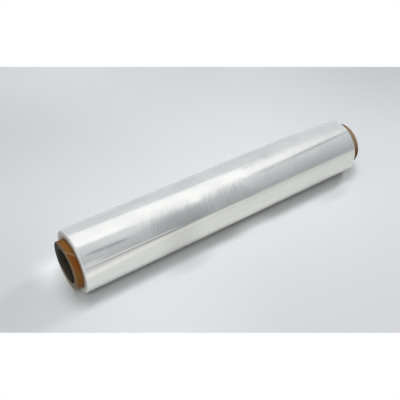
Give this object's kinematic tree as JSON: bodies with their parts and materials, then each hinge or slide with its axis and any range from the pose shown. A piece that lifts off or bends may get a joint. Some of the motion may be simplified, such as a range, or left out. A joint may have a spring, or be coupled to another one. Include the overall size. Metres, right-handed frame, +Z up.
{
  "type": "stretch wrap roll",
  "caption": "Roll of clear stretch film wound on a thick cardboard core that stands proud of the film at both ends, lying on its side.",
  "frame": {"origin": "on the surface that the roll lies on, under the middle of the core's length", "axes": "+X along the roll from the near cut of the core to the far one, +Z up"},
  "size_m": [0.529, 0.0937, 0.0937],
  "materials": {
    "cardboard": "matt kraft",
    "film": "gloss, milky clear"
  },
  "bodies": {
    "root": {"core_tube": "cardboard", "film_roll": "film"}
  },
  "joints": []
}
